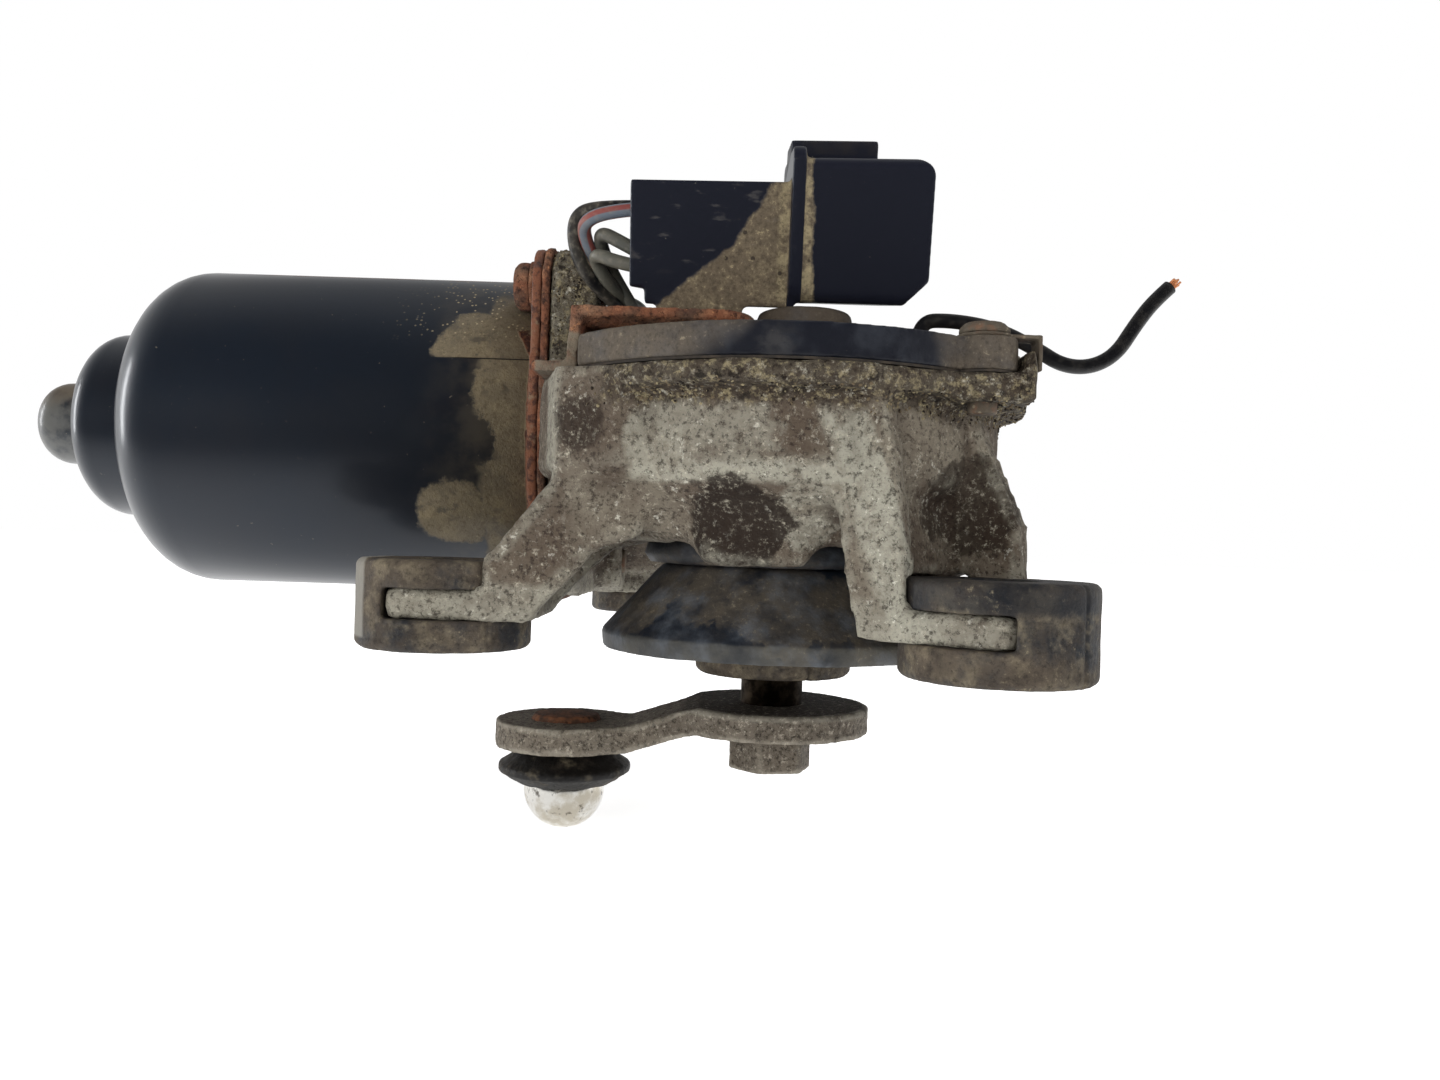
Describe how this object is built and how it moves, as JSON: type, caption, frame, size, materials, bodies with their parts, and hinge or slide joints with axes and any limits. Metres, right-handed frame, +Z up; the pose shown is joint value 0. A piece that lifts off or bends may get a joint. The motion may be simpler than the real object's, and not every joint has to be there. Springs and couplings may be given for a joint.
{
  "type": "wiper motor",
  "caption": "Wiper motor: a long round can bolted to a cast worm gear housing on forked legs with rubber feet, with a crank arm and ball stud below and a plug connector on top.",
  "frame": {"origin": "on the output shaft's axis, in the plane of the undersides of the rubber feet", "axes": "+Z up the output shaft to the gear cover, +X along the motor's axis away from its can, +Y towards the motor from the output shaft"},
  "size_m": [0.1994, 0.145, 0.1133],
  "materials": {
    "can_enamel": "glossy black e-coat, dusty",
    "cast_alloy": "die cast, weathered",
    "black_cover": "dark paint, dusty",
    "rusty_steel": "rusty steel",
    "zinc_steel": "zinc plated, dull",
    "steel": "ground or turned",
    "arm_steel": "worn, speckled",
    "ball_chrome": "polished",
    "foot_rubber": "dusty",
    "seal_rubber": "moulded",
    "connector_plastic": "moulded, dusty",
    "white_plastic": "acetal",
    "card_plastic": "phenolic",
    "bronze": "sintered",
    "copper": "enamelled or bare",
    "ferrite": "sintered",
    "carbon": "carbon and copper",
    "wire_black": "insulation",
    "wire_red": "insulation, blue grey with a red stripe",
    "wire_grey": "insulation",
    "wire_white": "insulation"
  },
  "bodies": {
    "housing": {"bracket_screw": "rusty_steel", "brush_card": "card_plastic", "brush_holders": "bronze", "brush_plate": "rusty_steel", "brush_springs": "steel", "brushes": "carbon", "bush_retainer": "steel", "choke_coils": "copper", "cone_seal": "seal_rubber", "connector_bracket": "rusty_steel", "connector_housing": "connector_plastic", "connector_terminals": "copper", "contact_fingers": "copper", "contact_plate": "card_plastic", "cover_gasket": "seal_rubber", "cover_screws": "zinc_steel", "cut_wire": "wire_black", "dust_cap": "connector_plastic", "end_bush": "bronze", "flange_screws": "zinc_steel", "foot_grommet_left": "foot_rubber", "foot_grommet_rear": "foot_rubber", "foot_grommet_right": "foot_rubber", "foot_sleeve_left": "steel", "foot_sleeve_rear": "steel", "foot_sleeve_right": "steel", "front_bush": "bronze", "gear_cover": "black_cover", "gear_housing": "cast_alloy", "ground_bush": "seal_rubber", "lead_black": "wire_black", "lead_grey": "wire_grey", "lead_grommet": "seal_rubber", "lead_red": "wire_red", "lead_white": "wire_white", "magnet_clips": "steel", "magnets": "ferrite", "motor_can": "can_enamel", "output_bushes": "bronze", "rear_bush": "bronze", "screw_washers": "zinc_steel", "shaft_seal": "seal_rubber", "thrust_ball": "steel", "thrust_pad": "white_plastic", "thrust_plug": "zinc_steel", "thrust_washers": "steel", "wire_clip": "zinc_steel"},
    "output": {"output_shaft": "steel", "worm_wheel": "white_plastic", "drive_plate": "steel", "park_disc": "copper", "retaining_ring": "steel", "crank_arm": "arm_steel", "crank_nut": "arm_steel", "ball_stud": "ball_chrome", "ball_boot": "seal_rubber"},
    "armature": {"armature_shaft": "steel", "lamination_stack": "steel", "windings": "copper", "commutator": "copper"}
  },
  "joints": [
    {"name": "output_spin", "type": "hinge", "parent": "housing", "child": "output", "pos_m": [0, 0, 0], "axis": [0, 0, 1], "continuous": true},
    {"name": "armature_spin", "type": "hinge", "parent": "housing", "child": "armature", "pos_m": [0, 0.0345, 0.036], "axis": [1, 0, 0], "continuous": true}
  ],
  "couplings": [
    {"joint": "armature_spin", "follows": "output_spin", "ratio": 48}
  ]
}
